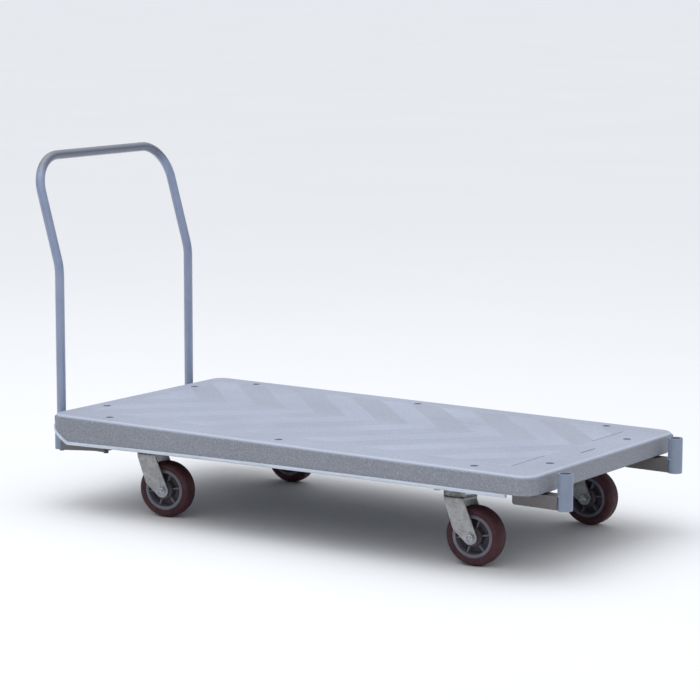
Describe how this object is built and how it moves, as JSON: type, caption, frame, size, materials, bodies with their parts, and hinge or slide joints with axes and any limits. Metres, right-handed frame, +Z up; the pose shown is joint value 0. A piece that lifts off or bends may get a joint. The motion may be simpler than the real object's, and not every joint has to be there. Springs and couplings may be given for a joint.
{
  "type": "platform cart",
  "caption": "Flat moulded deck on a steel channel frame with swivel casters; a bent tube push handle stands in end sockets and lifts out.",
  "frame": {"origin": "on the floor under the middle of the cart's overall length and width", "axes": "+X towards the open-socket (front) end, -X the handle end, +Y the cart's left side, +Z up"},
  "size_m": [1.7252, 0.77, 0.9622],
  "materials": {
    "deck_plastic": "pale blue-grey moulded plastic, satin, raised pattern",
    "trim_plastic": "pale grey edge strip, smooth",
    "frame_paint": "grey powder-coated sheet steel",
    "handle_paint": "blue-grey enamel, satin",
    "zinc": "zinc-plated pressed steel",
    "fastener_zinc": "bright zinc-plated",
    "hub_plastic": "dark grey moulded nylon",
    "tyre_rubber": "dark maroon rubber",
    "plug_plastic": "black plastic"
  },
  "bodies": {
    "chassis": {"deck": "deck_plastic", "side_trim_left": "trim_plastic", "side_trim_right": "trim_plastic", "frame_rail_left": "frame_paint", "frame_rail_right": "frame_paint", "cross_member_front": "frame_paint", "cross_member_rear": "frame_paint", "bracket_front_left": "handle_paint", "bracket_front_right": "handle_paint", "bracket_rear_left": "handle_paint", "bracket_rear_right": "handle_paint", "bracket_spacers": "frame_paint", "deck_bolts": "fastener_zinc", "frame_nuts": "fastener_zinc", "bracket_bolts": "fastener_zinc", "leg_stop_bolts": "fastener_zinc", "caster_bolts": "fastener_zinc", "caster_nuts": "fastener_zinc", "front_left_plate": "zinc", "front_left_race": "zinc", "front_left_balls": "fastener_zinc", "front_left_kingpin": "fastener_zinc", "front_right_plate": "zinc", "front_right_race": "zinc", "front_right_balls": "fastener_zinc", "front_right_kingpin": "fastener_zinc", "rear_left_plate": "zinc", "rear_left_race": "zinc", "rear_left_balls": "fastener_zinc", "rear_left_kingpin": "fastener_zinc", "rear_right_plate": "zinc", "rear_right_race": "zinc", "rear_right_balls": "fastener_zinc", "rear_right_kingpin": "fastener_zinc"},
    "handle": {"handle_tube": "handle_paint", "handle_end_plugs": "plug_plastic"},
    "front_left_fork_body": {"front_left_fork": "zinc", "front_left_axle_bolt": "fastener_zinc", "front_left_axle_nut": "fastener_zinc"},
    "front_left_wheel": {"front_left_hub": "hub_plastic", "front_left_bearing": "fastener_zinc", "front_left_tyre": "tyre_rubber"},
    "front_right_fork_body": {"front_right_fork": "zinc", "front_right_axle_bolt": "fastener_zinc", "front_right_axle_nut": "fastener_zinc"},
    "front_right_wheel": {"front_right_hub": "hub_plastic", "front_right_bearing": "fastener_zinc", "front_right_tyre": "tyre_rubber"},
    "rear_left_fork_body": {"rear_left_fork": "zinc", "rear_left_axle_bolt": "fastener_zinc", "rear_left_axle_nut": "fastener_zinc"},
    "rear_left_wheel": {"rear_left_hub": "hub_plastic", "rear_left_bearing": "fastener_zinc", "rear_left_tyre": "tyre_rubber"},
    "rear_right_fork_body": {"rear_right_fork": "zinc", "rear_right_axle_bolt": "fastener_zinc", "rear_right_axle_nut": "fastener_zinc"},
    "rear_right_wheel": {"rear_right_hub": "hub_plastic", "rear_right_bearing": "fastener_zinc", "rear_right_tyre": "tyre_rubber"}
  },
  "joints": [
    {"name": "handle_lift", "type": "slide", "parent": "chassis", "child": "handle", "axis": [0, 0, 1], "range_m": [0, 0.1]},
    {"name": "front_left_swivel", "type": "hinge", "parent": "chassis", "child": "front_left_fork_body", "pos_m": [0.54658, 0.29, 0.176], "axis": [0, 0, 1], "continuous": true},
    {"name": "front_left_spin", "type": "hinge", "parent": "front_left_fork_body", "child": "front_left_wheel", "pos_m": [0.59056, 0.2913, 0.0762], "axis": [-0.0297, 0.9996, 0], "continuous": true},
    {"name": "front_right_swivel", "type": "hinge", "parent": "chassis", "child": "front_right_fork_body", "pos_m": [0.54658, -0.29, 0.176], "axis": [0, 0, 1], "continuous": true},
    {"name": "front_right_spin", "type": "hinge", "parent": "front_right_fork_body", "child": "front_right_wheel", "pos_m": [0.59026, -0.28471, 0.0762], "axis": [-0.1201, 0.9928, 0], "continuous": true},
    {"name": "rear_left_swivel", "type": "hinge", "parent": "chassis", "child": "rear_left_fork_body", "pos_m": [-0.43443, 0.29, 0.176], "axis": [0, 0, 1], "continuous": true},
    {"name": "rear_left_spin", "type": "hinge", "parent": "rear_left_fork_body", "child": "rear_left_wheel", "pos_m": [-0.39043, 0.29, 0.0762], "axis": [0, 1, 0], "continuous": true},
    {"name": "rear_right_swivel", "type": "hinge", "parent": "chassis", "child": "rear_right_fork_body", "pos_m": [-0.43443, -0.29, 0.176], "axis": [0, 0, 1], "continuous": true},
    {"name": "rear_right_spin", "type": "hinge", "parent": "rear_right_fork_body", "child": "rear_right_wheel", "pos_m": [-0.39132, -0.28115, 0.0762], "axis": [-0.2011, 0.9796, 0], "continuous": true}
  ]
}
